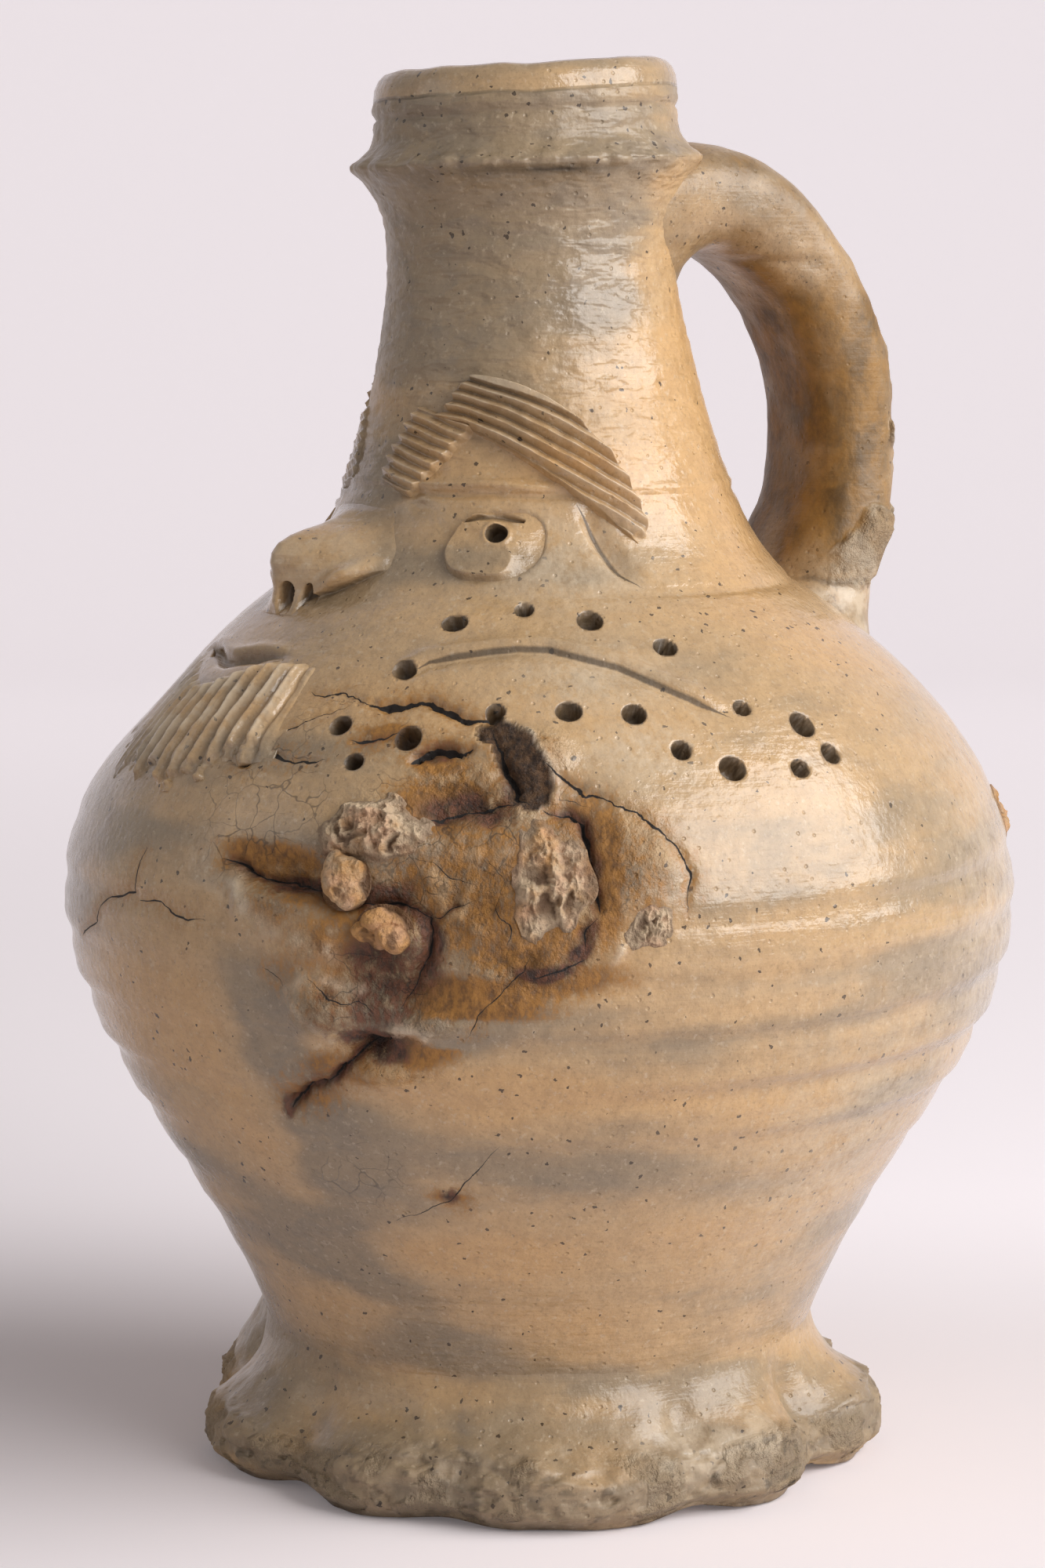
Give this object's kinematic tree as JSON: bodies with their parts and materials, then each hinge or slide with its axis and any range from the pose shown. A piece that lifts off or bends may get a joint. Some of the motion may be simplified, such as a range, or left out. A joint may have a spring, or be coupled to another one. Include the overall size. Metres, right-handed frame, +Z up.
{
  "type": "bartmann jug",
  "caption": "Salt-glazed stoneware face jug with a bulbous belly, narrow neck with cordon, strap handle, thumbed foot ring and an applied bearded mask; it stores and pours drink.",
  "frame": {"origin": "middle of the underside, on the ground under the pot's axis", "axes": "+Z up along the pot's axis; -Y from the axis to the nose; +Y from the axis to the handle; +X to the mask's own left side, which the picture shows"},
  "size_m": [0.1506, 0.1506, 0.22],
  "materials": {
    "thrown_stoneware": "salt glaze with a fine orange-peel gloss, grey to buff",
    "foot_clay": "salt glaze, thinner and greyer towards the standing edge",
    "handle_clay": "salt glaze, ochre on the inner face and grey at the edges",
    "mask_clay": "salt glaze over smoothed applied clay",
    "combed_clay": "salt glaze over combed applied clay",
    "kiln_debris": "rough unglazed kiln debris fused to the wall"
  },
  "bodies": {
    "root": {"vessel": "thrown_stoneware", "foot_frill": "foot_clay", "handle": "handle_clay", "nose": "mask_clay", "brow_left_front": "combed_clay", "brow_left_long": "combed_clay", "brow_right_front": "combed_clay", "brow_right_long": "combed_clay", "eye_left": "mask_clay", "eye_right": "mask_clay", "beard_pad": "combed_clay", "kiln_lump_1": "kiln_debris", "kiln_lump_2": "kiln_debris", "kiln_lump_3": "kiln_debris", "kiln_lump_4": "kiln_debris", "kiln_lump_5": "kiln_debris", "kiln_flake": "kiln_debris"}
  },
  "joints": []
}
